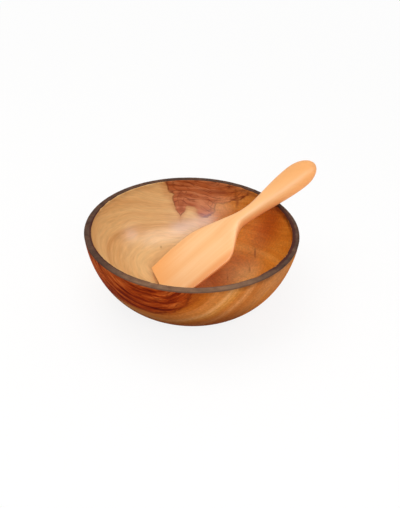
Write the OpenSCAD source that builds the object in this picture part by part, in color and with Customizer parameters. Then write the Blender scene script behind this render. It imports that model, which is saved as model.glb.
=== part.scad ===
// Turned wooden salad bowl with a dark band round its rim, and the carved wooden server that lies in it.
// The origin is the centre of the foot and +Z is up. The server's handle lies over the rim towards +X and +Y.
// The server's resting angle and height are worked out from the bowl's floor and rim.

/* [Bowl] */
// Outer diameter of the bowl at its rim
rim_d = 250; // [200:1:300]
// Height of the bowl, rim band included
bowl_h = 88; // [70:1:110]
// Diameter of the flat foot that the bowl stands on
foot_d = 100; // [80:1:130]
// How far the outside stays level before it turns up, as a share of foot edge to rim
outer_heel = 0.69; // [0.5:0.01:0.8]
// How far down the outside stays near upright, as a share of the height
outer_side = 0.33; // [0.2:0.01:0.5]
// Lean of the wall at the rim, in degrees off upright
rim_lean = 4; // [0:0.5:10]
// Thickness of the wall at the rim
wall_t = 8; // [6:0.5:12]
// Thickness of the floor
floor_t = 10; // [7:0.5:16]
// Diameter of the level part of the inside floor
well_d = 72; // [50:1:90]
// How far the inside stays level past the well, as a share of well edge to rim
inner_heel = 0.64; // [0.5:0.01:0.75]
// How far down the inside stays near upright, as a share of the depth
inner_side = 0.36; // [0.2:0.01:0.5]

/* [Rim band] */
// Depth of the dark band on the outside of the rim
band_outer = 2; // [1.8:0.1:6]
// Depth of the dark band on the inside of the rim
band_inner = 0.9; // [0.8:0.1:4]
// Rounding of the rim's outer edge
outer_edge = 1; // [0.4:0.1:1.4]
// Rounding of the rim's inner edge
inner_edge = 0.6; // [0.2:0.1:0.7]

/* [Server] */
// Length of the server from tip to handle end
server_l = 241; // [200:1:290]
// Length of the flat blade up to its right shoulder
blade_l = 84; // [68:1:100]
// Length of the short right shoulder between blade and neck
shoulder_l = 34; // [26:1:44]
// Length of the flat blade up to its left shoulder
left_blade_l = 62; // [48:1:76]
// Length of the long left shoulder, which runs on into the handle
left_shoulder_l = 95; // [76:1:110]
// Length of the blade over which it widens from its tip
flare_l = 40; // [20:1:60]
// Length of the rounded handle end
grip_end_l = 28; // [20:1:36]
// Width of the blade at its tip
tip_w = 69.8; // [50:0.2:84]
// Width of the blade at its widest
blade_w = 76; // [56:0.2:92]
// Width that both shoulders narrow to at the neck
neck_w = 12.6; // [10:0.2:20]
// Width of the handle at its widest
grip_w = 37.2; // [26:0.2:46]
// Thickness of the tip's edge
tip_t = 2.6; // [2:0.1:4]
// Thickness of the blade at its shoulders
blade_t = 8.4; // [6:0.2:12]
// Thickness of the neck
neck_t = 15.2; // [11:0.2:20]
// Thickness of the handle at its widest
grip_t = 25; // [18:1:32]
// Slant of the tip's edge, in degrees
tip_slant = 9.8; // [0:0.2:16]
// Rounding of the tip's corners
tip_corner = 3; // [1:0.5:8]
// Rise of the server's middle over a straight line from tip to end
server_bow = 1.2; // [0:0.2:8]

/* [Server at rest] */
// Tip's distance to the left of the bowl's middle
tip_left = 35.9; // [20:0.1:50]
// Tip's distance in front of the bowl's middle
tip_front = 13.6; // [0:0.1:30]
// Direction of the handle, in degrees from +X towards +Y
server_turn = 29.8; // [0:0.2:60]
// Clearance between the server and the floor, and between its handle and the rim
rest_gap = 0.3; // [0.1:0.05:0.6]

/* [Hidden] */

rim_r = rim_d / 2;
mouth_r = rim_r - wall_t;
curve_steps = 32;
edge_steps = 6;

// Rings of points that the server is lofted through, and how square or round its section is
ring_points = 28;
tip_rings = 4;
blade_rings = 10;
shoulder_rings = 12;
handle_rings = 14;
end_rings = 8;
end_sweep = 84;
blade_squareness = 0.5;
handle_squareness = 0.92;

// Search for the server's resting angle
steepest_rise = 60;
search_steps = 26;
out_of_reach = bowl_h + server_l;

neck_at = blade_l + shoulder_l;
grip_at = server_l - grip_end_l;

// Helpers: a blend between two values, a blend with a soft start and end, and a point on a cubic curve
function mix(a, b, t) = a + (b - a) * t;
function ease(t) = let (u = min(max(t, 0), 1)) u * u * (3 - 2 * u);
function cubic(p, t) =
    pow(1 - t, 3) * p[0] + 3 * t * pow(1 - t, 2) * p[1] + 3 * t * t * (1 - t) * p[2] + pow(t, 3) * p[3];
function arc(centre, r, from, to) =
    [for (i = [0 : edge_steps]) let (a = mix(from, to, i / edge_steps)) centre + r * [cos(a), sin(a)]];

// One side of the wall in section: level at the bottom, and leaning rim_lean off upright at the top
function wall_curve(low_r, low_z, top_r, heel, side) =
    let (
        rise = bowl_h - low_z,
        p = [
            [low_r, low_z],
            [mix(low_r, top_r, heel), low_z],
            [top_r, bowl_h] - side * rise * [sin(rim_lean), cos(rim_lean)],
            [top_r, bowl_h]
        ]
    )
    [for (i = [0 : curve_steps]) cubic(p, i / curve_steps)];

outside = wall_curve(foot_d / 2, 0, rim_r, outer_heel, outer_side);
inside = concat([[0, floor_t]], wall_curve(well_d / 2, floor_t, mouth_r, inner_heel, inner_side));

// Rounded edges of the rim, tangent to the wall's lean and to the level top
outer_edge_low = bowl_h - outer_edge * (1 + sin(rim_lean));
outer_edge_r = rim_r - (bowl_h - outer_edge_low) * tan(rim_lean) - outer_edge * cos(rim_lean);
inner_edge_low = bowl_h - inner_edge * (1 - sin(rim_lean));
inner_edge_r = mouth_r - (bowl_h - inner_edge_low) * tan(rim_lean) + inner_edge * cos(rim_lean);

wall_section = concat(
    [[0, 0]],
    [for (p = outside) if (p.y < outer_edge_low) p],
    arc([outer_edge_r, bowl_h - outer_edge], outer_edge, -rim_lean, 90),
    arc([inner_edge_r, bowl_h - inner_edge], inner_edge, 90, 180 - rim_lean),
    [for (i = [len(inside) - 1 : -1 : 0]) if (inside[i].y < inner_edge_low) inside[i]]
);

// Everything above the slanting seat that the band sits on
band_slope = (band_outer - band_inner) / wall_t;
band_zone = [
    [mouth_r - wall_t, bowl_h - band_inner + band_slope * wall_t],
    [rim_r + wall_t, bowl_h - band_outer - band_slope * wall_t],
    [rim_r + wall_t, bowl_h + wall_t],
    [mouth_r - wall_t, bowl_h + wall_t]
];

module bowl() {
    color("peru")
    rotate_extrude($fn = 180)
    difference() {
        polygon(wall_section);
        polygon(band_zone);
    }
}

module rim_band() {
    color("dimgray")
    rotate_extrude($fn = 180)
    intersection() {
        polygon(wall_section);
        polygon(band_zone);
    }
}

// Server: half width on one side, and half thickness, at a distance s from the tip
function end_cap(s) = sqrt(max(0, 1 - pow(max(0, s - grip_at) / grip_end_l, 2)));
function corner_cut(s) = tip_corner - sqrt(pow(tip_corner, 2) - pow(max(0, tip_corner - s), 2));
function half_width(s, shoulder_at, length) =
    let (
        blade = mix(tip_w, blade_w, ease(s / flare_l)) / 2 - corner_cut(s),
        neck = mix(blade, neck_w / 2, ease((s - shoulder_at) / length))
    )
    mix(neck, grip_w / 2, ease((s - neck_at) / (grip_at - neck_at))) * end_cap(s);
function half_thickness(s) =
    let (
        blade = mix(tip_t, blade_t, ease(s / blade_l)) / 2,
        neck = mix(blade, neck_t / 2, ease((s - blade_l) / shoulder_l))
    )
    mix(neck, grip_t / 2, ease((s - neck_at) / (grip_at - neck_at))) * end_cap(s);

// The section goes from a flat plate with rounded edges at the blade to an oval at the handle
function squareness(s) =
    mix(blade_squareness, handle_squareness, ease((s - blade_l / 2) / (neck_at - blade_l / 2)));
function bulge(v, power) = sign(v) * pow(abs(v), power);
function slant_at(s) = tan(tip_slant) * (1 - min(s / blade_l, 1));
function bow_at(s) = 4 * server_bow * s * (server_l - s) / pow(server_l, 2);
function section(s) =
    [for (k = [0 : ring_points - 1])
        let (
            a = 360 * k / ring_points,
            left = half_width(s, left_blade_l, left_shoulder_l),
            right = half_width(s, blade_l, shoulder_l),
            y = (cos(a) < 0 ? left : right) * bulge(cos(a), squareness(s)),
            z = half_thickness(s) * bulge(sin(a), squareness(s))
        )
        [s - slant_at(s) * y, y, z + bow_at(s)]];

stations = concat(
    [for (i = [0 : tip_rings]) tip_corner * (1 - cos(90 * i / tip_rings))],
    [for (i = [1 : blade_rings]) mix(tip_corner, blade_l, i / blade_rings)],
    [for (i = [1 : shoulder_rings]) mix(blade_l, neck_at, i / shoulder_rings)],
    [for (i = [1 : handle_rings]) mix(neck_at, grip_at, i / handle_rings)],
    [for (i = [1 : end_rings]) grip_at + grip_end_l * sin(end_sweep * i / end_rings)]
);
rings = [for (s = stations) section(s)];
server_end = [server_l, 0, bow_at(server_l)];

// A point of the server, turned to the resting direction at a given rise of the handle
function turned(p, rise) =
    let (
        along = [cos(rise) * cos(server_turn), cos(rise) * sin(server_turn), sin(rise)],
        across = [sin(server_turn), -cos(server_turn), 0]
    )
    p.x * along + p.y * across + p.z * cross(across, along);
function from_axis(p) = norm([p.x - tip_left, p.y - tip_front]);

// Height of the tip's middle at which the blade just clears the bowl's inside
function tip_height(rise) =
    rest_gap + max([for (i = [0 : len(rings) - 1]) if (stations[i] < blade_l)
        for (p = rings[i]) let (q = turned(p, rise)) lookup(from_axis(q), inside) - q.z]);

// Lowest height over the tip's middle of the lines along the handle's underside, where they pass the mouth
function mouth_height(rise) =
    min([out_of_reach, for (k = [ring_points / 2 : ring_points - 1], i = [1 : len(rings) - 1])
        if (stations[i] > neck_at)
        let (
            a = turned(rings[i - 1][k], rise),
            b = turned(rings[i][k], rise),
            ra = from_axis(a),
            rb = from_axis(b)
        )
        if (ra <= mouth_r && rb > mouth_r) mix(a.z, b.z, (mouth_r - ra) / (rb - ra))]);

// Rise of the handle, in degrees, at which it just clears the rim
function resting_rise(low, high, steps) =
    let (mid = (low + high) / 2)
    steps == 0 ? mid
    : mouth_height(mid) + tip_height(mid) < bowl_h + rest_gap ? resting_rise(mid, high, steps - 1)
    : resting_rise(low, mid, steps - 1);

rise = resting_rise(0, steepest_rise, search_steps);
tip_at = [-tip_left, -tip_front, tip_height(rise)];

function ring_start(i) = i * ring_points;
function ring_faces(i) =
    [for (k = [0 : ring_points - 1])
        let (next = (k + 1) % ring_points)
        each [
            [ring_start(i) + k, ring_start(i) + next, ring_start(i + 1) + next],
            [ring_start(i) + k, ring_start(i + 1) + next, ring_start(i + 1) + k]
        ]];

module server() {
    last = len(rings) - 1;
    points = concat([for (ring = rings) each ring], [server_end]);
    tip_face = [for (k = [ring_points - 1 : -1 : 0]) k];
    sides = [for (i = [0 : last - 1]) each ring_faces(i)];
    end_fan = [for (k = [0 : ring_points - 1])
        [ring_start(last) + k, ring_start(last) + (k + 1) % ring_points, len(points) - 1]];
    color("burlywood")
    polyhedron(
        [for (p = points) tip_at + turned(p, rise)],
        concat([tip_face], sides, end_fan)
    );
}

bowl();
rim_band();
server();
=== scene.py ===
"""Turned olive wood salad bowl with a dark band round its rim, and the carved wooden server that lies in it.

Everything is in metres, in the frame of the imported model: the origin is the centre of the foot and +Z is up.
Sizes are written in millimetres and turned to metres where a mesh is made.
"""

import logging
import math
from dataclasses import dataclass
from enum import Enum
from functools import partial
from typing import Any, Callable, Optional, Sequence, Union

import bpy
from mathutils import Matrix, Vector, noise


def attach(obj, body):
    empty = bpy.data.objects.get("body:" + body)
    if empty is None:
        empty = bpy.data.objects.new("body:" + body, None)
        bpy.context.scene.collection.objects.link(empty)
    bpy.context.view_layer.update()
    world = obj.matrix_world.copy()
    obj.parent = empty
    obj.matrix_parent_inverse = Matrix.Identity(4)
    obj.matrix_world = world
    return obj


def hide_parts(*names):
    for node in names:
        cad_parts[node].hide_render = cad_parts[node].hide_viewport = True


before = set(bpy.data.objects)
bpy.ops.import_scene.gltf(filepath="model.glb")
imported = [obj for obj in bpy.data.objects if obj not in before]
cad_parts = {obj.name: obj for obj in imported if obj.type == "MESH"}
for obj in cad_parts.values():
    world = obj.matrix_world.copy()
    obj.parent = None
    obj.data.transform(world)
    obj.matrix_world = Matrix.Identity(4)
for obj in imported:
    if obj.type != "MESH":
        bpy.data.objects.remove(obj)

LOG = logging.getLogger("salad_bowl")
MM = 0.001
WELD = 1e-6

Socket = bpy.types.NodeSocket
AddNode = Callable[..., Socket]
Point = tuple[float, float]
Span = tuple[float, float]
Triple = tuple[float, float, float]
Ramp = tuple[tuple[float, str], ...]

# Settings that many nodes share: a range with soft ends, and a mix of the colours in its inputs 6 and 7
SOFT_ENDS = {"interpolation_type": "SMOOTHSTEP"}
OF_COLOURS = {"data_type": "RGBA", "output": 2}


class Body(Enum):
    """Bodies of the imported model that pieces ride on."""

    BOWL = "bowl_body"
    SERVER = "server_body"


class Side(Enum):
    """The two edges of the server's blade, seen from above with its tip towards the eye."""

    LEFT = -1
    RIGHT = 1


def mix(a: float, b: float, share: float) -> float:
    """Returns the value that lies the given share of the way from a to b."""
    return a + (b - a) * share


def ease(share: float) -> float:
    """Returns a share from 0 to 1 with a soft start and end."""
    held = min(max(share, 0.0), 1.0)
    return held * held * (3.0 - 2.0 * held)


def quarter(step: int, steps: int) -> float:
    """Returns the angle in radians after some of the steps of a quarter turn."""
    return math.radians(90.0 * step / steps)


def per(sizes: Triple) -> Triple:
    """Returns how often a pattern of the given sizes repeats in one unit."""
    return tuple(1 / size for size in sizes)


def hex_to_linear(code: str) -> tuple[float, float, float, float]:
    """Turns an sRGB colour to a linear one.

    Args:
        code: The colour as "#rrggbb".

    Returns:
        Linear red, green and blue, and an alpha of 1.
    """
    parts = [int(code[i : i + 2], 16) / 255.0 for i in (1, 3, 5)]
    linear = [p / 12.92 if p <= 0.04045 else ((p + 0.055) / 1.055) ** 2.4 for p in parts]
    return (linear[0], linear[1], linear[2], 1.0)


def add_node(
    tree: bpy.types.NodeTree,
    kind: str,
    inputs: Union[dict[Any, Any], Sequence[Any]] = (),
    operation: str = "",
    output: Any = 0,
    stops: Ramp = (),
    **settings: Any,
) -> Optional[Socket]:
    """Adds one node to a finish, with its settings and links.

    Args:
        tree: The node tree of the finish.
        kind: The node's type, without its leading "ShaderNode".
        inputs: Sockets, values or sRGB colours for the node's inputs, in order, or by name or number.
        operation: What a Math or VectorMath node works out.
        output: Name or number of the output to hand back.
        stops: Places and sRGB colours of a colour ramp.
        **settings: Properties of the node.

    Returns:
        The chosen output socket, or None for a node that has no outputs.
    """
    node = tree.nodes.new("ShaderNode" + kind)
    if operation:
        node.operation = operation
    for key, value in settings.items():
        setattr(node, key, value)
    for key, value in inputs.items() if isinstance(inputs, dict) else enumerate(inputs):
        if isinstance(value, Socket):
            tree.links.new(value, node.inputs[key])
        else:
            node.inputs[key].default_value = hex_to_linear(value) if isinstance(value, str) else value
    if stops:
        ramp = node.color_ramp.elements
        while len(ramp) < len(stops):
            ramp.new(1.0)
        for element, (place, code) in zip(ramp, stops):
            element.position = place
            element.color = hex_to_linear(code)
    return node.outputs[output] if node.outputs else None


def new_finish(name: str) -> tuple[bpy.types.Material, AddNode]:
    """Starts an empty finish.

    Args:
        name: The finish's name.

    Returns:
        The material, and add_node bound to its node tree.
    """
    material = bpy.data.materials.new(name)
    material.use_nodes = True
    material.node_tree.nodes.clear()
    return material, partial(add_node, material.node_tree)


@dataclass(frozen=True)
class Tint:
    """A colour laid over another: none of it at a value's start, and its full strength at the end."""

    start: float
    end: float
    colour: str
    strength: float = 1.0

    def lay(self, node: AddNode, value: Socket, under: Socket, *shares: Socket) -> Socket:
        """Lays the colour.

        Args:
            node: Adds a node.
            value: The value that the start and end belong to.
            under: The colour underneath.
            *shares: Shares from 0 to 1 that weaken it.

        Returns:
            The colour with the tint over it.
        """
        share = node("MapRange", [value, self.start, self.end, 0.0, self.strength], **SOFT_ENDS)
        for part in shares:
            share = node("Math", [share, part], "MULTIPLY")
        return node("Mix", {0: share, 6: under, 7: self.colour}, **OF_COLOURS)


@dataclass(frozen=True)
class Mark:
    """A small patch in the wood, with its middle and its reach along X, Y and Z in millimetres."""

    middle: Triple
    reach: Triple
    colour: str = "#000000"
    strength: float = 1.0
    pointed: bool = False

    def depth(self, node: AddNode, mm: Socket) -> Socket:
        """Draws how far a place is from the patch's middle.

        Args:
            node: Adds a node.
            mm: Places in millimetres.

        Returns:
            A value that is 0 in the middle and 1 at the patch's reach.
        """
        local = node("Mapping", {0: mm, "Location": self.middle, "Scale": self.reach}, vector_type="TEXTURE")
        if self.pointed:
            local = node("VectorMath", [local], "ABSOLUTE")
            return node("VectorMath", [local, (1.0, 1.0, 1.0)], "DOT_PRODUCT", output="Value")
        return node("VectorMath", [local], "LENGTH", output="Value")

    def lay(self, node: AddNode, mm: Socket, under: Socket) -> Socket:
        """Returns a colour with the patch over it."""
        return Tint(1.0, 0.0, self.colour, self.strength).lay(node, self.depth(node, mm), under)


@dataclass(frozen=True)
class Lines:
    """Thin lines that follow a pattern and wander: their wander, their gap, and a line's edge and middle."""

    wander_mm: float
    gap_mm: float
    line_mm: Span
    strength: float = 1.0

    def draw(self, node: AddNode, pattern: Socket, slow: Socket) -> Socket:
        """Draws the lines.

        Args:
            node: Adds a node.
            pattern: The distance that the lines follow, in millimetres.
            slow: The noise that they wander by.

        Returns:
            The lines' strength at each place.
        """
        line = node("Math", [slow, self.wander_mm, pattern], "MULTIPLY_ADD")
        line = node("Math", [line, self.gap_mm], "PINGPONG")
        return node("MapRange", [line, *self.line_mm, 0.0, self.strength], **SOFT_ENDS)


@dataclass(frozen=True)
class Finish:
    """What every finish has: its name, its gloss, and the strength and depth of a fine relief."""

    name: str
    roughness: float
    specular: float
    relief: float
    relief_mm: float

    def close(self, node: AddNode, colour: Socket, height: Socket) -> None:
        """Joins a colour and a relief to the surface.

        Args:
            node: Adds a node.
            colour: The surface's colour.
            height: The pattern that stands up as a relief.
        """
        relief = node("Bump", {"Height": height, "Strength": self.relief, "Distance": self.relief_mm * MM})
        gloss = {"Roughness": self.roughness, "Specular IOR Level": self.specular}
        shader = node("BsdfPrincipled", {"Base Color": colour, "Normal": relief, **gloss})
        node("OutputMaterial", {"Surface": shader})


@dataclass(frozen=True)
class Figure:
    """The patterns of a log, at each place, that its colours are worked out from."""

    mm: Socket
    rightward: Socket
    height: Socket
    across: Socket
    up: Socket
    ring: Socket
    bands: Socket
    streaks: Socket
    fibre: Socket
    ragged: Socket
    front: Socket
    tanned: Socket


@dataclass(frozen=True)
class OliveWood(Finish):
    """Olive wood, turned, sanded and oiled.

    To the eye it is pale sapwood and red-brown heartwood with dark streaks, under a soft satin sheen. The
    figure is cut from one log, so it runs through the whole wall: growth rings lie round a pith line that
    passes above the bowl, and heartwood lies close to it. A span gives the two ends of a change.
    """

    name: str = "olive_wood_oiled"
    roughness: float = 0.27
    specular: float = 0.22
    relief: float = 0.12
    relief_mm: float = 0.2

    # The log: where its pith lies, how it sways, and how its rings change from front to back
    pith_mm: Triple = (-13.0, 0.0, 150.0)
    pith_turn: float = -17.0
    pith_fall_mm: float = 25.0
    sway_mm: float = 14.0
    calm_sway_mm: float = 5.0
    sway_wave_mm: float = 60.0
    front_to_back_mm: Span = (-60.0, 60.0)
    flatness_behind: float = 0.7

    # Its patterns: millimetres out from the pith, radians round it and millimetres along it. Real fibres are
    # finer, and these are drawn as coarse as they need to be to show
    band_size: Triple = (7.0, 2.0, 260.0)
    streak_size: Triple = (4.5, 0.5, 80.0)
    fibre_size: Triple = (0.9, 0.125, 14.0)
    ragged_mm: float = 14.0
    slow_mm: float = 40.0
    speckle_mm: float = 2.6

    # The darker front of the log and the tanned right, and how far streaks carry them into the rest
    front_run_mm: float = 70.0
    front_mm: Span = (-4.0, -26.0)
    tan_run_mm: float = 50.0
    tan_mm: Span = (14.0, 52.0)

    # Heartwood: an oval, by its shift, half width and half height behind and in front, and lobes that hang
    # from it at the back
    heart_height_mm: float = 94.0
    heart_back_mm: Triple = (-1.0, 53.0, 34.0)
    heart_front_mm: Triple = (-33.0, 85.0, 55.0)
    heart_slope_mm: float = 45.0
    heart_softness_mm: Span = (1.6, 5.0)
    lobe_slope_mm: float = 18.0
    lobe_join_mm: float = 4.0
    edge_depth_mm: float = 9.0
    lobes: tuple[Mark, ...] = (
        Mark((-15.2, 103.0, 66.0), (12.8, 40.0, 24.0), pointed=True),
        Mark((2.0, 106.0, 68.0), (20.0, 40.0, 12.0)),
        Mark((17.0, 103.0, 64.0), (14.5, 40.0, 19.0)),
    )
    near_colours: Ramp = ((0.32, "#440a01"), (0.42, "#6e1c03"), (0.52, "#963809"), (0.68, "#ba5c24"))
    far_colours: Ramp = ((0.3, "#96441c"), (0.42, "#ac5a2c"), (0.55, "#bd6e40"), (0.7, "#cc8656"))
    far_tan_mm: Span = (5.0, 60.0)
    far_tan: float = 0.6

    # Dark lines: one along the heartwood's edge, and in it some that sweep with the rings or follow the edge
    outline_mm: Span = (1.8, 0.3)
    sweep: Lines = Lines(34.0, 3.0, (0.9, 0.1))
    contour: Lines = Lines(12.0, 3.6, (1.0, 0.2), 0.7)
    faint_noise: Span = (0.36, 0.6)
    faint_strength: Span = (0.1, 0.85)
    line_colour: str = "#6a2406"

    # Sapwood: pale or tanned, hooped in front, painted shade low in front, and browner round the heartwood
    sap_colours: Ramp = ((0.3, "#c69056"), (0.42, "#d4a267"), (0.55, "#dcaf74"), (0.72, "#e2bb82"))
    tan_colours: Ramp = ((0.3, "#b66210"), (0.44, "#c26e1a"), (0.55, "#ca7a26"), (0.72, "#d6903c"))
    hoop_run_mm: float = 16.0
    hoop_mm: Span = (78.0, 138.0)
    hoop_colours: Ramp = (
        (0.0, "#a04e14"), (0.13, "#ac5a18"), (0.22, "#c07436"), (0.32, "#c07636"), (0.44, "#d49658"),
        (0.52, "#c07a34"), (0.62, "#b86c2e"), (0.72, "#c8844a"), (0.84, "#b4682c"), (1.0, "#be783c"),
    )
    # Painted shade: the front darkens towards the bottom
    low: Tint = Tint(66.0, 22.0, "#5e2200", 0.74)
    halo: Tint = Tint(9.0, 0.0, "#b87238", 0.5)

    # Darker just under the rim band, patchy and stronger on the right, and patches of other colours
    rim_dark: Tint = Tint(79.0, 85.5, "#4a1404")
    rim_dark_patchy: float = 0.3
    rim_dark_right_mm: Span = (20.0, 95.0)
    rim_dark_left: float = 0.25
    marks: tuple[Mark, ...] = (
        Mark((24.0, 110.0, 75.0), (38.0, 14.0, 2.8), "#7c3210", 0.6),
        Mark((-12.0, 112.0, 80.0), (16.0, 14.0, 3.0), "#8a3c16", 0.5),
        Mark((38.0, 108.0, 77.0), (15.0, 14.0, 4.0), "#7c3210", 0.55),
        Mark((-16.5, 112.0, 71.0), (6.0, 14.0, 9.0), "#7c2e08", 0.55),
        Mark((-15.0, 105.0, 55.0), (5.0, 14.0, 7.0), "#8a3c10", 0.55),
        Mark((11.0, 107.0, 59.0), (13.0, 14.0, 11.0), "#d48e60", 0.55),
        Mark((54.0, 99.0, 77.0), (3.2, 14.0, 10.0), "#8a4412", 0.85),
        Mark((56.5, 96.0, 70.0), (3.2, 14.0, 14.0), "#8a4412", 0.8),
        Mark((-14.0, 91.0, 36.0), (24.0, 16.0, 13.0), "#a87444", 0.5),
        Mark((36.0, 100.0, 57.0), (26.0, 20.0, 16.0), "#d8a070", 0.6),
        Mark((96.0, 54.0, 62.0), (44.0, 40.0, 44.0), "#b85200", 0.8),
        Mark((64.0, 10.0, 16.0), (44.0, 36.0, 28.0), "#ecb66c", 0.75),
        Mark((100.0, -74.0, 76.0), (50.0, 45.0, 45.0), "#b87a4a", 0.8),
        Mark((72.0, 18.0, 19.5), (1.8, 9.0, 7.0), "#8a4a1c", 0.5),
        Mark((45.0, 12.0, 10.5), (1.8, 9.0, 5.0), "#8a4210", 0.5),
        Mark((78.8, 38.0, 30.0), (2.0, 12.0, 13.0), "#7a3408", 0.7),
        Mark((-38.8, 62.8, 20.1), (2.0, 3.0, 3.0), "#8a6030", 0.6),
    )

    # How much fibres, and fine speckles in the tanned wood, lighten and darken the colour
    fleck_noise: Span = (0.3, 0.7)
    fleck_shade: Span = (0.9, 1.08)
    speckle_noise: Span = (0.35, 0.65)
    speckle_shade: float = 0.11

    def rings(self, node: AddNode, log: Socket) -> Socket:
        """Draws growth rings: round and low in front, flatter and higher behind.

        Args:
            node: Adds a node.
            log: Places in the log's own frame, in millimetres.

        Returns:
            Distance out from the pith, angle round it and distance along it.
        """
        across, along, up = node("SeparateXYZ", [log]).node.outputs
        flatness = node("MapRange", [along, *self.front_to_back_mm, 1.0, self.flatness_behind])
        flat = node("Math", [across, flatness], "MULTIPLY")
        lift = node("MapRange", [along, *self.front_to_back_mm, self.pith_fall_mm, 0.0])
        lifted = node("Math", [up, lift], "ADD")
        out = node("CombineXYZ", {0: flat, 2: lifted})
        out = node("VectorMath", [out], "LENGTH", output="Value")
        below = node("Math", [up, -1.0], "MULTIPLY")
        angle = node("Math", [across, below], "ARCTAN2")
        return node("CombineXYZ", [out, angle, along])

    def figure(self, node: AddNode) -> Figure:
        """Draws the log's patterns.

        Args:
            node: Adds a node.

        Returns:
            The patterns.
        """
        place = node("TexCoord", output="Object")
        mm = node("VectorMath", {0: place, "Scale": 1 / MM}, "SCALE")
        rightward, _, height = node("SeparateXYZ", [mm]).node.outputs

        # The log's own frame: across, along and up from its pith, swayed as a grown log is
        turn = (0.0, 0.0, math.radians(self.pith_turn))
        straight = node("Mapping", {0: mm, "Location": self.pith_mm, "Rotation": turn}, vector_type="TEXTURE")
        sway = node("TexNoise", {"Vector": mm, "Scale": 1 / self.sway_wave_mm, "Detail": 1.5}, output="Color")
        sway = node("VectorMath", [sway, (0.5, 0.5, 0.5)], "SUBTRACT")
        log, calm = (
            node("VectorMath", [sway, (by_mm,) * 3, straight], "MULTIPLY_ADD")
            for by_mm in (self.sway_mm, self.calm_sway_mm)
        )
        across, along, up = node("SeparateXYZ", [log]).node.outputs

        # Broad bands follow calm rings, and the finer streaks and fibres the swayed ones
        rings = self.rings(node, log)
        ring = node("SeparateXYZ", [rings], output=0)
        bands = node("VectorMath", [self.rings(node, calm), per(self.band_size)], "MULTIPLY")
        bands = node("TexNoise", {"Vector": bands, "Scale": 1.0, "Detail": 5.0, "Roughness": 0.68})
        streaks = node("VectorMath", [rings, per(self.streak_size)], "MULTIPLY")
        streaks = node("TexNoise", {"Vector": streaks, "Scale": 1.0, "Detail": 4.0, "Roughness": 0.6})
        fibre = node("VectorMath", [rings, per(self.fibre_size)], "MULTIPLY")
        fibre = node("TexNoise", {"Vector": fibre, "Scale": 1.0, "Detail": 3.0})
        ragged = node(
            "TexNoise", {"Vector": mm, "Scale": 1 / self.ragged_mm, "Detail": 3.0, "Roughness": 0.55}
        )

        # Streaks of the darker front and of the tanned right run out into the paler part
        front = node("Math", [streaks, self.front_run_mm, along], "MULTIPLY_ADD")
        front = node("MapRange", [front, *self.front_mm], **SOFT_ENDS)
        tanned = node("Math", [streaks, self.tan_run_mm, across], "MULTIPLY_ADD")
        tanned = node("MapRange", [tanned, *self.tan_mm], **SOFT_ENDS)
        return Figure(mm, rightward, height, across, up, ring, bands, streaks, fibre, ragged, front, tanned)

    def edge(self, node: AddNode, figure: Figure) -> Socket:
        """Draws how far a place is outside the heartwood.

        Args:
            node: Adds a node.
            figure: The log's patterns.

        Returns:
            About the distance in millimetres, which is below 0 in the heartwood.
        """
        shift, width, height = (
            node("MapRange", [figure.front, 0.0, 1.0, behind, ahead])
            for behind, ahead in zip(self.heart_back_mm, self.heart_front_mm)
        )
        oval_x = node("Math", [figure.across, shift], "SUBTRACT")
        oval_x = node("Math", [oval_x, width], "DIVIDE")
        oval_z = node("Math", [figure.up, self.pith_mm[2] - self.heart_height_mm], "ADD")
        oval_z = node("Math", [oval_z, height], "DIVIDE")
        oval = node("CombineXYZ", {0: oval_x, 2: oval_z})
        oval = node("VectorMath", [oval], "LENGTH", output="Value")
        edge = node("Math", [oval, 1.0], "SUBTRACT")
        edge = node("Math", [edge, self.heart_slope_mm], "MULTIPLY")
        for lobe in self.lobes:
            reach = node("Math", [lobe.depth(node, figure.mm), 1.0], "SUBTRACT")
            reach = node("Math", [reach, self.lobe_slope_mm], "MULTIPLY")
            edge = node("Math", [edge, reach, self.lobe_join_mm], "SMOOTH_MIN")

        # Two noises, each 0.5 in the middle, make the edge ragged, so one whole depth comes off again
        for pattern in (figure.ragged, figure.streaks):
            edge = node("Math", [pattern, self.edge_depth_mm, edge], "MULTIPLY_ADD")
        return node("Math", [edge, self.edge_depth_mm], "SUBTRACT")

    def woods(self, node: AddNode, figure: Figure, edge: Socket) -> tuple[Socket, Socket]:
        """Draws the colours of the two woods.

        Args:
            node: Adds a node.
            figure: The log's patterns.
            edge: Distance outside the heartwood.

        Returns:
            The sapwood's colour and the heartwood's.
        """
        sap = node("ValToRGB", [figure.bands], stops=self.sap_colours)
        tan = node("ValToRGB", [figure.bands], stops=self.tan_colours)
        sap = node("Mix", {0: figure.tanned, 6: sap, 7: tan}, **OF_COLOURS)
        hoop = node("Math", [figure.bands, self.hoop_run_mm, figure.ring], "MULTIPLY_ADD")
        hoop = node("MapRange", [hoop, *self.hoop_mm])
        hoops = node("ValToRGB", [hoop], stops=self.hoop_colours)
        sap = node("Mix", {0: figure.front, 6: sap, 7: hoops}, **OF_COLOURS)
        # Painted shade, darker low on the front
        sap = self.low.lay(node, figure.height, sap, figure.front)
        behind = node("MapRange", [figure.front, 0.0, 1.0, 1.0, 0.0])
        sap = self.halo.lay(node, edge, sap, behind)
        near = node("ValToRGB", [figure.streaks], stops=self.near_colours)
        far = node("ValToRGB", [figure.streaks], stops=self.far_colours)
        tanned = node("MapRange", [figure.across, *self.far_tan_mm, 0.0, self.far_tan], **SOFT_ENDS)
        far = node("Mix", {0: tanned, 6: far, 7: tan}, **OF_COLOURS)
        return sap, node("Mix", {0: figure.front, 6: far, 7: near}, **OF_COLOURS)

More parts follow.
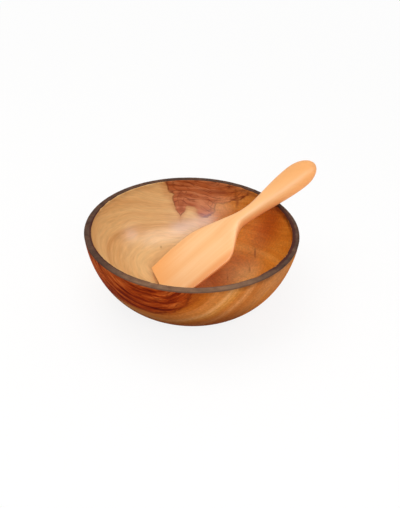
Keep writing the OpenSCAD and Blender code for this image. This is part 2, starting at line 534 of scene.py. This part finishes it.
    def material(self) -> bpy.types.Material:
        """Builds the finish.

        Returns:
            The material.
        """
        made, node = new_finish(self.name)
        figure = self.figure(node)
        edge = self.edge(node, figure)
        softness = node("MapRange", [figure.front, 0.0, 1.0, *self.heart_softness_mm])
        heart = node("Math", [edge, softness], "DIVIDE")
        heart = node("MapRange", [heart, 1.0, -1.0], **SOFT_ENDS)
        sap, core = self.woods(node, figure, edge)
        colour = node("Mix", {0: heart, 6: sap, 7: core}, **OF_COLOURS)

        # Dark lines, which fade out in places
        slow = node("TexNoise", {"Vector": figure.mm, "Scale": 1 / self.slow_mm, "Detail": 1.0})
        dark = node("Math", [edge], "ABSOLUTE")
        dark = node("MapRange", [dark, *self.outline_mm], **SOFT_ENDS)
        for lines, pattern in ((self.sweep, figure.ring), (self.contour, edge)):
            drawn = node("Math", [lines.draw(node, pattern, slow), heart], "MULTIPLY")
            dark = node("Math", [dark, drawn], "MAXIMUM")
        faint = node("MapRange", [figure.ragged, *self.faint_noise, *self.faint_strength])
        dark = node("Math", [dark, faint], "MULTIPLY")
        colour = node("Mix", {0: dark, 6: colour, 7: self.line_colour}, **OF_COLOURS)

        # The darkening under the rim and the patches, then flecks and speckles over all
        patchy = node("MapRange", [faint, 0.0, 1.0, self.rim_dark_patchy, 1.0])
        rightward = node("MapRange", [figure.rightward, *self.rim_dark_right_mm, self.rim_dark_left, 1.0])
        colour = self.rim_dark.lay(node, figure.height, colour, patchy, rightward)
        for mark in self.marks:
            colour = mark.lay(node, figure.mm, colour)
        flecks = node("MapRange", [figure.fibre, *self.fleck_noise, *self.fleck_shade])
        colour = node("VectorMath", {0: colour, "Scale": flecks}, "SCALE")
        speckle = node("TexNoise", {"Vector": figure.mm, "Scale": 1 / self.speckle_mm, "Detail": 2.0})
        speckle = node("MapRange", [speckle, *self.speckle_noise, -self.speckle_shade, self.speckle_shade])
        speckle = node("Math", [speckle, figure.tanned, 1.0], "MULTIPLY_ADD")
        colour = node("VectorMath", {0: colour, "Scale": speckle}, "SCALE")
        self.close(node, colour, figure.fibre)
        return made


@dataclass(frozen=True)
class BarkRim(Finish):
    """Bark left on the rim and sanded flat: to the eye matte, dark grey-brown, mottled and slightly rough."""

    name: str = "bark_rim"
    roughness: float = 0.8
    specular: float = 0.12
    relief: float = 0.4
    relief_mm: float = 0.3

    # Real grit is finer, and is drawn as coarse as it needs to be to show
    grit_mm: float = 1.2
    mottle_mm: float = 9.0
    ash_mm: float = 17.0
    ragged_mm: float = 1.6

    # The band is dusty in front, with ash-grey patches, and darker along both edges,
    # which is painted shade on their rounding
    dusty_mm: Span = (-70.0, -118.0)
    dark_colours: Ramp = ((0.3, "#38231a"), (0.45, "#483022"), (0.58, "#553929"), (0.75, "#6a4a36"))
    dusty_colours: Ramp = ((0.3, "#614431"), (0.45, "#71513b"), (0.58, "#7b5a42"), (0.75, "#8c6a4e"))
    ash_noise: Span = (0.45, 0.65)
    ash_strength: float = 0.6
    dark_ash: str = "#523c30"
    dusty_ash: str = "#765a42"
    middle_mm: float = 121.5
    edges: Tint = Tint(3.4, 4.8, "#3a2820", 0.5)

    # At the left and right its inner edge turns a dark red, wider on the right
    rim_dark: Tint = Tint(120.4, 118.8, "#3c1206", 0.85)
    rim_dark_sides_mm: Span = (60.0, 105.0)
    rim_dark_right_mm: Span = (40.0, 105.0)
    rim_dark_wider_mm: float = 1.8

    def material(self) -> bpy.types.Material:
        """Builds the finish.

        Returns:
            The material.
        """
        made, node = new_finish(self.name)
        place = node("TexCoord", output="Object")
        mm = node("VectorMath", {0: place, "Scale": 1 / MM}, "SCALE")
        rightward, backward, _ = node("SeparateXYZ", [mm]).node.outputs
        grit = node("TexNoise", {"Vector": mm, "Scale": 1 / self.grit_mm, "Detail": 2.0})
        mottle = node(
            "TexNoise", {"Vector": mm, "Scale": 1 / self.mottle_mm, "Detail": 5.0, "Roughness": 0.6}
        )
        dark = node("ValToRGB", [mottle], stops=self.dark_colours)
        dusty = node("ValToRGB", [mottle], stops=self.dusty_colours)
        in_front = node("MapRange", [backward, *self.dusty_mm], **SOFT_ENDS)
        colour = node("Mix", {0: in_front, 6: dark, 7: dusty}, **OF_COLOURS)
        ash = node("Mix", {0: in_front, 6: self.dark_ash, 7: self.dusty_ash}, **OF_COLOURS)
        ashy = node("TexNoise", {"Vector": mm, "Scale": 1 / self.ash_mm, "Detail": 2.0})
        ashy = node("MapRange", [ashy, *self.ash_noise, 0.0, self.ash_strength])
        colour = node("Mix", {0: ashy, 6: colour, 7: ash}, **OF_COLOURS)
        radius = node("VectorMath", [mm, (1.0, 1.0, 0.0)], "MULTIPLY")
        radius = node("VectorMath", [radius], "LENGTH", output="Value")
        aside = node("Math", [radius, self.middle_mm], "SUBTRACT")
        aside = node("Math", [aside], "ABSOLUTE")
        aside = node("Math", [mottle, self.ragged_mm, aside], "MULTIPLY_ADD")
        # Painted shade on both rounded edges of the band
        colour = self.edges.lay(node, aside, colour)
        inward = node("Math", [mottle, self.ragged_mm, radius], "MULTIPLY_ADD")
        wider = node("MapRange", [rightward, *self.rim_dark_right_mm, 0.0, self.rim_dark_wider_mm])
        inward = node("Math", [inward, wider], "SUBTRACT")
        sides = node("Math", [rightward], "ABSOLUTE")
        sides = node("MapRange", [sides, *self.rim_dark_sides_mm])
        colour = self.rim_dark.lay(node, inward, colour, sides)
        self.close(node, colour, grit)
        return made


@dataclass(frozen=True)
class FruitWood(Finish):
    """Pale fruitwood, carved and sanded smooth: to the eye peach-orange, satin and straight-grained."""

    name: str = "fruitwood_sanded"
    roughness: float = 0.45
    specular: float = 0.2
    relief: float = 0.1
    relief_mm: float = 0.2

    # Sizes of the grain along, across and through the server, in millimetres
    grain_size: Triple = (130.0, 3.0, 3.0)
    broad_size: Triple = (160.0, 16.0, 16.0)
    grain_share: float = 0.35
    top_colours: Ramp = ((0.34, "#f1b377"), (0.48, "#f4bb80"), (0.56, "#f5bf86"), (0.7, "#f7c68f"))

    # The tip and the handle are warmer. The blade's right margin gets painted shade, and the sides and the
    # underside get painted orange bounce light from the bowl, both a deeper orange than the top
    warm: Tint = Tint(45.0, -15.0, "#f0a65c", 0.8)
    warm_slant: float = -0.6
    ripe: Tint = Tint(120.0, 240.0, "#e6a05c", 0.9)
    # Painted shade and orange bounce light on the blade's right margin
    painted_right_edge_shade: Tint = Tint(-26.0, -36.0, "#ea9c5a", 0.9)
    # Painted orange bounce light from the bowl, on the sides and the underside
    under: Tint = Tint(0.85, -0.1, "#faab66", 0.85)

    def material(self, tip: Vector, turn: float, rise: float) -> bpy.types.Material:
        """Builds the finish, with its grain along the server.

        Args:
            tip: The middle of the tip, in metres.
            turn: Direction of the handle from +X towards +Y, in radians.
            rise: Rise of the handle over level, in radians.

        Returns:
            The material.
        """
        made, node = new_finish(self.name)
        place = node("TexCoord", output="Object")
        own = node(
            "Mapping", {0: place, "Location": tip, "Rotation": (0.0, -rise, turn)}, vector_type="TEXTURE"
        )
        mm = node("VectorMath", {0: own, "Scale": 1 / MM}, "SCALE")
        grain = node("VectorMath", [mm, per(self.grain_size)], "MULTIPLY")
        grain = node("TexNoise", {"Vector": grain, "Scale": 1.0, "Detail": 3.0, "Roughness": 0.55})
        broad = node("VectorMath", [mm, per(self.broad_size)], "MULTIPLY")
        broad = node("TexNoise", {"Vector": broad, "Scale": 1.0, "Detail": 1.0})
        figure = node("Math", [broad, 1.0 - self.grain_share], "MULTIPLY")
        figure = node("Math", [grain, self.grain_share, figure], "MULTIPLY_ADD")
        colour = node("ValToRGB", [figure], stops=self.top_colours)
        along, leftward, _ = node("SeparateXYZ", [mm]).node.outputs
        aslant = node("Math", [leftward, self.warm_slant, along], "MULTIPLY_ADD")
        top = Matrix.Rotation(turn, 3, "Z") @ Matrix.Rotation(-rise, 3, "Y") @ Vector((0.0, 0.0, 1.0))
        # How far a face turns from the top, which sets the painted bounce light on the sides and underside
        facing = node("TexCoord", output="Normal")
        facing = node("VectorMath", [facing, top], "DOT_PRODUCT", output="Value")
        tints = (self.warm, self.ripe, self.painted_right_edge_shade, self.under)
        for tint, value in zip(tints, (aslant, along, leftward, facing)):
            colour = tint.lay(node, value, colour)
        self.close(node, colour, grain)
        return made


def deselect() -> None:
    """Leaves nothing selected, so that an operator acts only on what is added next."""
    bpy.ops.object.select_all(action="DESELECT")


def smooth(piece: bpy.types.Object, angle: float = 40.0) -> None:
    """Shades a piece smooth, apart from its sharp edges.

    Args:
        piece: The piece.
        angle: Angle in degrees past which an edge is sharp.
    """
    deselect()
    piece.select_set(True)
    bpy.context.view_layer.objects.active = piece
    bpy.ops.object.shade_smooth_by_angle(angle=math.radians(angle))


def turned_piece(name: str, section: Sequence[Point], closed: bool, steps: int) -> bpy.types.Object:
    """Turns a piece on the lathe: draws half its section and spins it round the Z axis.

    Args:
        name: The piece's name.
        section: Radius and height of each point of the half section, in millimetres.
        closed: Whether the last point joins the first.
        steps: Number of steps round the axis.

    Returns:
        The finished object, at the origin.
    """
    deselect()
    bpy.ops.mesh.primitive_plane_add(size=MM)
    piece = bpy.context.object
    piece.name = piece.data.name = name
    points = [Vector((r, 0.0, z)) * MM for r, z in section]
    bpy.ops.object.mode_set(mode="EDIT")
    bpy.ops.mesh.select_mode(type="VERT")
    bpy.ops.mesh.merge(type="CENTER")
    bpy.ops.transform.translate(value=points[0])
    walk = points + [points[0]] if closed else points
    for start, end in zip(walk, walk[1:]):
        bpy.ops.mesh.extrude_region_move(TRANSFORM_OT_translate={"value": end - start})
    bpy.ops.mesh.select_all(action="SELECT")
    bpy.ops.mesh.spin(steps=steps, angle=2.0 * math.pi, center=(0.0, 0.0, 0.0), axis=(0.0, 0.0, 1.0))
    bpy.ops.mesh.select_all(action="SELECT")
    bpy.ops.mesh.remove_doubles(threshold=WELD)
    bpy.ops.mesh.normals_make_consistent(inside=False)
    bpy.ops.object.mode_set(mode="OBJECT")
    return piece


@dataclass
class Bowl:
    """The turned bowl and the bark band that caps its rim. Sizes are in millimetres."""

    rim_d: float = 250.0
    height: float = 88.0
    foot_d: float = 100.0
    outer_heel: float = 0.69
    outer_side: float = 0.33
    rim_lean: float = 4.0
    wall: float = 8.0
    floor: float = 10.0
    well_d: float = 72.0
    inner_heel: float = 0.64
    inner_side: float = 0.36
    band_outer: float = 2.0
    band_inner: float = 0.9
    outer_edge: float = 1.0
    inner_edge: float = 0.6

    # Wear of the band: the size of its unevenness, how deep chips, the bare part behind and dips go, and how
    # many times finer the small chips and the dips are
    wear_mm: float = 11.0
    chip_mm: float = 2.2
    chip_least: float = 0.15
    bare_mm: float = 2.2
    dip_mm: float = 0.3
    fine_chips: float = 2.5
    fine_dips: float = 3.0

    curve_steps: int = 40
    round_steps: int = 6
    flat_steps: int = 6
    spin_steps: int = 256
    band_steps: int = 720

    # The outside and the seat are matte. A face of the seat looks up at least this much
    seat_up: float = 0.9
    outside_finish: OliveWood = OliveWood("olive_wood_matte", roughness=0.8, specular=0.03)
    inside_finish: OliveWood = OliveWood()
    band_finish: BarkRim = BarkRim()

    @property
    def mouth(self) -> float:
        """Radius of the inside at the rim."""
        return self.rim_d / 2 - self.wall

    @property
    def flat_outer(self) -> float:
        """Radius of the outer end of the band's flat top."""
        return self.rim_d / 2 - self.outer_edge

    @property
    def flat_inner(self) -> float:
        """Radius of the inner end of the band's flat top."""
        return self.mouth + self.inner_edge

    def wall_curve(self, low: Point, top_r: float, heel: float, side: float) -> list[Point]:
        """Gives one side of the wall in section: level at the bottom, and near upright at the rim.

        Args:
            low: Radius and height at the bottom.
            top_r: Radius at the rim.
            heel: How far it stays level, as a share of the way out to the rim.
            side: How far down it stays near upright, as a share of the rise.

        Returns:
            Radius and height of each point, from the bottom up.
        """
        low_r, low_z = low
        lean = math.radians(self.rim_lean)
        reach = side * (self.height - low_z)
        corners = (
            (low_r, low_z),
            (mix(low_r, top_r, heel), low_z),
            (top_r - reach * math.sin(lean), self.height - reach * math.cos(lean)),
            (top_r, self.height),
        )
        curve = []
        for i in range(self.curve_steps + 1):
            t = i / self.curve_steps
            weights = ((1 - t) ** 3, 3 * t * (1 - t) ** 2, 3 * t * t * (1 - t), t**3)
            curve.append(tuple(sum(w * c[axis] for w, c in zip(weights, corners)) for axis in (0, 1)))
        return curve

    def outside(self) -> list[Point]:
        """Returns the outside of the wall, from the foot's edge up."""
        return self.wall_curve((self.foot_d / 2, 0.0), self.rim_d / 2, self.outer_heel, self.outer_side)

    def inside(self) -> list[Point]:
        """Returns the inside of the wall, from the well's edge up."""
        return self.wall_curve((self.well_d / 2, self.floor), self.mouth, self.inner_heel, self.inner_side)

    def seat(self) -> tuple[Point, Point]:
        """Places the slanting seat that the band sits on.

        Returns:
            Radius and height of its outer end and of its inner end.
        """
        lean = math.tan(math.radians(self.rim_lean))
        outer = (self.rim_d / 2 - self.band_outer * lean, self.height - self.band_outer)
        inner = (self.mouth - self.band_inner * lean, self.height - self.band_inner)
        return outer, inner

    def build_bowl(self) -> bpy.types.Object:
        """Turns the bowl.

        Returns:
            The bowl, up to the seat of its band.
        """
        outer_seat, inner_seat = self.seat()
        section = [(0.0, 0.0)]
        section += [p for p in self.outside() if p[1] < outer_seat[1]]
        section += [outer_seat, inner_seat]
        section += [p for p in reversed(self.inside()) if p[1] < inner_seat[1]]
        section += [(0.0, self.floor)]
        return turned_piece("bowl_turned", section, closed=False, steps=self.spin_steps)

    def rounded(self, centre_r: float, radius: float, first: float) -> list[Point]:
        """Rounds one edge of the band's top.

        Args:
            centre_r: Radius of the middle of the rounding.
            radius: Radius of the rounding itself.
            first: Angle in radians at which its quarter turn starts, up from straight out.

        Returns:
            Radius and height of each point.
        """
        turns = [first + quarter(i, self.round_steps) for i in range(self.round_steps + 1)]
        middle_z = self.height - radius
        return [(centre_r + radius * math.cos(t), middle_z + radius * math.sin(t)) for t in turns]

    def build_band(self) -> bpy.types.Object:
        """Turns the band and wears it.

        Returns:
            The band, on its seat.
        """
        outer_seat, inner_seat = self.seat()
        shares = [i / self.flat_steps for i in range(1, self.flat_steps)]
        section = [outer_seat]
        section += self.rounded(self.flat_outer, self.outer_edge, 0.0)
        section += [(mix(self.flat_outer, self.flat_inner, share), self.height) for share in shares]
        section += self.rounded(self.flat_inner, self.inner_edge, math.pi / 2)
        section += [inner_seat]
        band = turned_piece("rim_band_bark", section, closed=True, steps=self.band_steps)
        self.wear(band)
        return band

    def wear(self, band: bpy.types.Object) -> None:
        """Wears the band: its top gets low dips, and its inner edge is chipped, and worn back behind.

        Args:
            band: The band as turned.
        """
        (outer_r, outer_z), (inner_r, inner_z) = self.seat()
        slope = (outer_z - inner_z) / (outer_r - inner_r)
        flat = self.flat_outer - self.flat_inner
        for vertex in band.data.vertices:
            place = vertex.co / MM
            radius = place.xy.length
            level = Vector((place.x, place.y, 0.0))
            spot = level / self.wear_mm
            uneven = noise.noise(spot) + 0.5 * noise.noise(self.fine_chips * spot)
            chip = self.chip_mm * max(0.0, uneven - self.chip_least)
            bare = self.bare_mm * ease(place.y / radius)
            slide = (chip + bare) * ease((self.flat_outer - radius) / flat)
            above = place.z - mix(inner_z, outer_z, (radius - inner_r) / (outer_r - inner_r))
            worn = 0.5 + 0.5 * noise.noise(self.fine_dips * spot)
            dip = self.dip_mm * min(1.0, max(0.0, above)) * worn
            vertex.co += (level.normalized() * slide + Vector((0.0, 0.0, slide * slope - dip))) * MM

    def make(self) -> list[bpy.types.Object]:
        """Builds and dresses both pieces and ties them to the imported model.

        Returns:
            The bowl and its band.
        """
        bowl = self.build_bowl()
        band = self.build_band()
        bowl.data.materials.append(self.outside_finish.material())
        bowl.data.materials.append(self.inside_finish.material())
        band.data.materials.append(self.band_finish.material())
        for face in bowl.data.polygons:
            on_seat = face.normal.z > self.seat_up and face.center.z > self.height * MM / 2
            face.material_index = int(face.normal.z > 0.0 and not on_seat)
        for piece, node in ((bowl, "bowl"), (band, "rim_band")):
            smooth(piece)
            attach(piece, Body.BOWL.value)
            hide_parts(node)
        return [bowl, band]


@dataclass
class Server:
    """The carved server: a flat blade with a slanted tip, a narrow neck and a round handle.

    Sizes are in millimetres.
    """

    length: float = 241.0
    blade: float = 84.0
    shoulder: float = 34.0
    shoulder_round: float = 7.5
    right_fullness: float = 2.3
    left_blade: float = 62.0
    left_shoulder: float = 95.0
    flare: float = 40.0
    grip_end: float = 28.0
    tip_w: float = 69.8
    blade_w: float = 76.0
    neck_w: float = 12.6
    grip_w: float = 37.2
    tip_t: float = 2.6
    blade_t: float = 8.4
    neck_t: float = 15.2
    grip_t: float = 25.0
    tip_slant: float = 9.8
    tip_corner: float = 3.0
    bow: float = 1.2
    tip_left: float = 35.9
    tip_front: float = 13.6
    turn: float = 29.8
    blade_squareness: float = 0.5
    handle_squareness: float = 0.92
    ring_points: int = 72
    corner_steps: int = 6
    body_steps: int = 104
    end_steps: int = 15
    finish: FruitWood = FruitWood()

    @property
    def neck_at(self) -> float:
        """Distance from the tip to the neck."""
        return self.blade + self.shoulder

    @property
    def grip_at(self) -> float:
        """Distance from the tip to the start of the rounded end."""
        return self.length - self.grip_end

    def handle_share(self, s: float) -> float:
        """Returns how far a place is along the handle, from neck to grip."""
        return ease((s - self.neck_at) / (self.grip_at - self.neck_at))

    def end_cap(self, s: float) -> float:
        """Returns how much of its full width the rounded end has at a place."""
        return math.sqrt(max(0.0, 1.0 - (max(0.0, s - self.grip_at) / self.grip_end) ** 2))

    def half_width(self, s: float, side: Side) -> float:
        """Gives half the width on one side.

        Args:
            s: Distance from the tip.
            side: The side of the blade.

        Returns:
            The half width at that distance.
        """
        at, length, fullness = self.left_blade, self.left_shoulder, 0.0
        if side is Side.RIGHT:
            at = self.blade - self.shoulder_round
            length = self.shoulder + 2.0 * self.shoulder_round
            fullness = self.right_fullness
        cut = self.tip_corner * (1.0 - math.sqrt(1.0 - min(1.0, max(0.0, 1.0 - s / self.tip_corner)) ** 2))
        blade = mix(self.tip_w, self.blade_w, ease(s / self.flare)) / 2 - cut + fullness * ease(s / at)
        neck = mix(blade, self.neck_w / 2, ease((s - at) / length))
        return mix(neck, self.grip_w / 2, self.handle_share(s)) * self.end_cap(s)

    def half_thickness(self, s: float) -> float:
        """Gives half the thickness.

        Args:
            s: Distance from the tip.

        Returns:
            The half thickness at that distance.
        """
        blade = mix(self.tip_t, self.blade_t, ease(s / self.blade)) / 2
        neck = mix(blade, self.neck_t / 2, ease((s - self.blade) / self.shoulder))
        return mix(neck, self.grip_t / 2, self.handle_share(s)) * self.end_cap(s)

    def surface(self, s: float, angle: float) -> Vector:
        """Gives a point of the server's skin in its own frame.

        Args:
            s: Distance from the tip.
            angle: Angle round the section, from its right edge.

        Returns:
            The point: along, across to the right, and up, in metres.
        """
        half = self.blade / 2
        power = mix(self.blade_squareness, self.handle_squareness, ease((s - half) / (self.neck_at - half)))
        across, up = math.cos(angle), math.sin(angle)
        side = Side.LEFT if across < 0 else Side.RIGHT
        y = self.half_width(s, side) * math.copysign(abs(across) ** power, across)
        z = self.half_thickness(s) * math.copysign(abs(up) ** power, up)
        slant = math.tan(math.radians(self.tip_slant)) * (1.0 - min(s / self.blade, 1.0))
        bow = 4.0 * self.bow * s * (self.length - s) / self.length**2
        return Vector((s - slant * y, y, z + bow)) * MM

    def stations(self) -> list[float]:
        """Places the rings that the skin is drawn through.

        Returns:
            Their distances from the tip.
        """
        corners = [quarter(i, self.corner_steps) for i in range(self.corner_steps + 1)]
        shares = [i / self.body_steps for i in range(1, self.body_steps + 1)]
        ends = [quarter(i, self.end_steps) for i in range(1, self.end_steps)]
        stations = [self.tip_corner * (1.0 - math.cos(turn)) for turn in corners]
        stations += [mix(self.tip_corner, self.grip_at, share) for share in shares]
        stations += [self.grip_at + self.grip_end * math.sin(turn) for turn in ends]
        return stations

    def pose(self) -> tuple[Vector, float, float]:
        """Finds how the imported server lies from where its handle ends.

        Returns:
            The middle of the tip in metres, the turn and the rise in radians.
        """
        tip = Vector((-self.tip_left, -self.tip_front, 0.0)) * MM
        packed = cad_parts["server"].data.vertices
        end = max((v.co for v in packed), key=lambda co: (co - tip).length)
        reach = (end - tip).xy.length / (self.length * MM)
        rise = math.acos(reach)
        tip.z = end.z - self.length * MM * math.sin(rise)
        return tip, math.radians(self.turn), rise

    def build(self) -> bpy.types.Object:
        """Carves the server: draws a tube ring by ring, shapes it, closes its ends and lays it in the bowl.

        Returns:
            The server, in its resting place.
        """
        deselect()
        upright = (0.0, math.pi / 2, 0.0)
        bpy.ops.mesh.primitive_circle_add(vertices=self.ring_points, radius=1.0, rotation=upright)
        piece = bpy.context.object
        piece.name = piece.data.name = "server_carved"
        bpy.ops.object.transform_apply(location=False, rotation=True, scale=False)
        stations = self.stations()
        bpy.ops.object.mode_set(mode="EDIT")
        bpy.ops.mesh.select_all(action="SELECT")
        for start, end in zip(stations, stations[1:]):
            bpy.ops.mesh.extrude_region_move(TRANSFORM_OT_translate={"value": (end - start, 0.0, 0.0)})
        bpy.ops.object.mode_set(mode="OBJECT")
        for vertex in piece.data.vertices:
            vertex.co = self.surface(vertex.co.x, math.atan2(vertex.co.z, vertex.co.y))
        bpy.ops.object.mode_set(mode="EDIT")
        bpy.ops.mesh.select_all(action="SELECT")
        bpy.ops.mesh.fill_holes(sides=self.ring_points)
        bpy.ops.mesh.select_all(action="SELECT")
        bpy.ops.mesh.normals_make_consistent(inside=False)
        bpy.ops.object.mode_set(mode="OBJECT")
        tip, turn, rise = self.pose()
        lay = Matrix.Translation(tip) @ Matrix.Rotation(turn, 4, "Z") @ Matrix.Rotation(-rise, 4, "Y")
        mirror = Matrix.Scale(-1.0, 4, Vector((0.0, 1.0, 0.0)))
        piece.data.transform(lay @ mirror)
        piece.data.flip_normals()
        return piece

    def make(self) -> bpy.types.Object:
        """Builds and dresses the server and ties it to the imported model.

        Returns:
            The server.
        """
        piece = self.build()
        piece.data.materials.append(self.finish.material(*self.pose()))
        smooth(piece)
        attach(piece, Body.SERVER.value)
        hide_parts("server")
        return piece


@dataclass(frozen=True)
class Lamp:
    """A soft strip lamp that faces the bowl: its two ends and its width in metres, and its power in watts."""

    first: Triple
    last: Triple
    width: float
    watts: float
    for_sheen: bool = False
    daylight: str = "#d8e8ff"
    aim_height: float = 0.05

    def make(self) -> None:
        """Hangs the lamp.

        A lamp for the sheen is seen only in reflections, and the others only light matte surfaces.
        """
        first, last = Vector(self.first), Vector(self.last)
        place = (first + last) / 2
        back = (place - Vector((0.0, 0.0, self.aim_height))).normalized()
        cross = back.cross(last - first).normalized()
        turn = Matrix((cross.cross(back), cross, back)).transposed()
        bpy.ops.object.light_add(type="AREA", location=place, rotation=turn.to_euler())
        lamp = bpy.context.object
        lamp.data.shape = "RECTANGLE"
        lamp.data.size = (last - first).length
        lamp.data.size_y = self.width
        lamp.data.energy = self.watts
        if self.for_sheen:
            lamp.data.color = hex_to_linear(self.daylight)[:3]
        lamp.visible_diffuse = not self.for_sheen
        lamp.visible_glossy = self.for_sheen


@dataclass
class Studio:
    """The camera, the pale floor and the soft light."""

    elevation: float = 31.89
    distance_mm: float = 1000.0
    roll: float = 1.525
    focal_px: float = 858.3
    frame_px: Point = (400.0, 508.0)
    rim_px: Point = (192.06, 228.53)
    rim_height_mm: float = 88.0
    sensor_mm: float = 36.0
    clip_near: float = 0.01

    # The floor reads whiter the further it is from the bowl, in metres, and never all white close to it
    floor_size: float = 12.0
    floor_colour: str = "#f2f0ee"
    white: str = "#ffffff"
    whiter: Span = (0.4, 2.0)
    white_share: Span = (0.85, 1.0)
    sky: float = 0.6
    lamps: tuple[Lamp, ...] = (
        Lamp((0.5, -0.55, 1.3), (-0.65, -0.98, 0.98), 0.38, 25.0, for_sheen=True),
        Lamp((1.05, 0.1, 1.05), (0.2, -0.55, 1.4), 0.5, 15.0, for_sheen=True),
        Lamp((1.25, 0.05, 0.72), (1.2, 0.35, 0.72), 0.3, 5.0, for_sheen=True),
        Lamp((-0.9, 0.2, 1.4), (0.3, 0.2, 1.4), 1.2, 9.0),
        Lamp((-0.3, -1.2, 1.0), (0.9, -1.2, 1.0), 0.8, 9.0),
    )

    def camera(self) -> None:
        """Sets the camera so that the rim's middle falls where the photograph has it."""
        down = math.radians(self.elevation)
        view = Vector((0.0, math.cos(down), -math.sin(down)))
        place = Vector((0.0, 0.0, self.rim_height_mm * MM)) - view * self.distance_mm * MM
        level = Matrix.Rotation(math.pi / 2 - down, 3, "X") @ Matrix.Rotation(math.radians(self.roll), 3, "Z")
        right = (self.rim_px[0] - self.frame_px[0] / 2) / self.focal_px
        up = (self.frame_px[1] / 2 - self.rim_px[1]) / self.focal_px
        turn = Vector((0.0, 0.0, -1.0)).rotation_difference(Vector((right, up, -1.0))).to_matrix()
        bpy.ops.object.camera_add(location=place, rotation=(level @ turn.inverted()).to_euler())
        camera = bpy.context.object
        camera.data.sensor_fit = "HORIZONTAL"
        camera.data.sensor_width = self.sensor_mm
        camera.data.lens = self.focal_px * self.sensor_mm / self.frame_px[0]
        camera.data.clip_start = self.clip_near
        bpy.context.scene.camera = camera

    def seen(self, node: AddNode) -> Socket:
        """Tells what is looked at, straight, in a reflection or through glass, from what only gives light.

        Args:
            node: Adds a node.

        Returns:
            1 where it is looked at, and 0 where it gives light.
        """
        seen = node("LightPath", output="Is Camera Ray")
        for ray in ("Is Glossy Ray", "Is Transmission Ray"):
            seen = node("Math", [seen, node("LightPath", output=ray)], "MAXIMUM")
        return seen

    def floor(self) -> None:
        """Lays a pale floor that reads white to the eye and still takes the bowl's shadow."""
        deselect()
        bpy.ops.mesh.primitive_plane_add(size=self.floor_size)
        floor = bpy.context.object
        floor.name = "floor"
        made, node = new_finish("white_floor")
        paint = node("BsdfDiffuse", {"Color": self.floor_colour})
        glow = node("Emission", {"Color": self.white, "Strength": 1.0})
        away = node("TexCoord", output="Object")
        away = node("VectorMath", [away], "LENGTH", output="Value")
        white = node("MapRange", [away, *self.whiter, *self.white_share])
        share = node("Math", [self.seen(node), white], "MULTIPLY")
        surface = node("MixShader", [share, paint, glow])
        node("OutputMaterial", {"Surface": surface})
        floor.data.materials.append(made)

    def light(self) -> None:
        """Lights the bowl with soft strip lamps and an even sky, which looks white."""
        scene = bpy.context.scene
        scene.view_settings.view_transform = "Standard"
        world = bpy.data.worlds.new("white_sky")
        world.use_nodes = True
        world.node_tree.nodes.clear()
        node = partial(add_node, world.node_tree)
        strength = node("MapRange", [self.seen(node), 0.0, 1.0, self.sky, 1.0])
        sky = node("Background", {"Color": self.white, "Strength": strength})
        node("OutputWorld", {"Surface": sky})
        scene.world = world
        for lamp in self.lamps:
            lamp.make()

    def make(self) -> None:
        """Sets up the camera, floor and light."""
        self.camera()
        self.floor()
        self.light()


def main() -> None:
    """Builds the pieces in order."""
    logging.basicConfig(level=logging.INFO, format="%(message)s")
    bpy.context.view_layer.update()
    Studio().make()
    pieces = Bowl().make() + [Server().make()]


if __name__ == "__main__":
    main()
